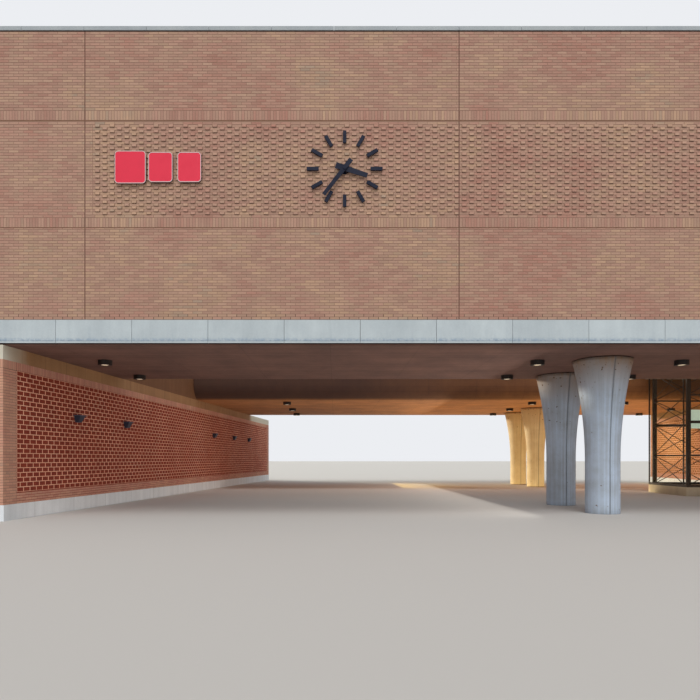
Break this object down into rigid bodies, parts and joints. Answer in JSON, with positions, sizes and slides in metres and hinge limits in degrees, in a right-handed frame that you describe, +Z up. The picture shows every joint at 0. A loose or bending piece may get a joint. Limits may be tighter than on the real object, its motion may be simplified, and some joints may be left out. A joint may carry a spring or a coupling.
{
  "type": "railway station building",
  "caption": "Brick railway station storey on a bridge deck over a road, with flared round columns, a glazed tower and a wall clock.",
  "frame": {"origin": "centre of the bounding box, on the ground", "axes": "+X to the right along the front, +Y from the front to the back, +Z up"},
  "size_m": [39.86, 30.7754, 13.155],
  "materials": {
    "brick": "wirecut clay brick with sandy mortar",
    "road_brick": "perforated clay brick, open joints",
    "fascia_concrete": "fair-faced precast concrete",
    "deck_concrete": "board-marked concrete",
    "column_concrete": "board-marked concrete with a vertical seam",
    "coping_stone": "precast concrete coping",
    "wall_concrete": "cast concrete",
    "roofing": "mineral roofing",
    "dark_steel": "dark brown painted steel",
    "clear_glass": "clear sheet glass",
    "frosted_glass": "frosted pale green glass",
    "clock_metal": "dark blue enamelled metal",
    "sign_enamel": "red enamel with pale edges",
    "lamp_housing": "dark painted lamp housing"
  },
  "bodies": {
    "building": {"fascia_band": "fascia_concrete", "front_deck": "deck_concrete", "rear_deck": "deck_concrete", "front_brick_lower": "brick", "front_brick_middle": "brick", "front_brick_upper": "brick", "back_brick": "brick", "left_brick": "brick", "right_brick": "brick", "backing_front": "wall_concrete", "backing_back": "wall_concrete", "backing_left": "wall_concrete", "backing_right": "wall_concrete", "roof_slab": "roofing", "front_coping": "coping_stone", "back_coping": "coping_stone", "end_copings": "coping_stone", "front_columns": "column_concrete", "rear_columns": "column_concrete", "base_front_walls": "brick", "left_road_brick": "road_brick", "right_road_brick": "road_brick", "left_road_core": "wall_concrete", "right_road_core": "wall_concrete", "left_end_wall": "brick", "right_end_wall": "brick", "left_back_wall": "brick", "right_back_wall": "brick", "road_plinths": "fascia_concrete", "head_bands": "wall_concrete", "platform_slabs": "wall_concrete", "tower_plinth": "fascia_concrete", "tower_frame_front": "dark_steel", "tower_frame_back": "dark_steel", "tower_frame_left": "dark_steel", "tower_frame_right": "dark_steel", "tower_glass": "clear_glass", "tower_privacy_panel": "frosted_glass", "tower_roof": "dark_steel", "tower_landing": "wall_concrete", "clock_markers": "clock_metal", "clock_arbor": "clock_metal", "sign_tiles": "sign_enamel", "front_soffit_lights": "lamp_housing", "rear_soffit_lights": "lamp_housing", "wall_lamps": "lamp_housing"},
    "minute_hand": {"minute_hand": "clock_metal"},
    "hour_hand": {"hour_hand": "clock_metal"}
  },
  "joints": [
    {"name": "minute_turn", "type": "hinge", "parent": "building", "child": "minute_hand", "pos_m": [-3.045, -15.21225, 9.34], "axis": [0, 1, 0], "continuous": true},
    {"name": "hour_turn", "type": "hinge", "parent": "building", "child": "hour_hand", "pos_m": [-3.045, -15.21225, 9.34], "axis": [0, 1, 0], "continuous": true}
  ],
  "couplings": [
    {"joint": "hour_turn", "follows": "minute_turn", "ratio": 0.083333}
  ]
}
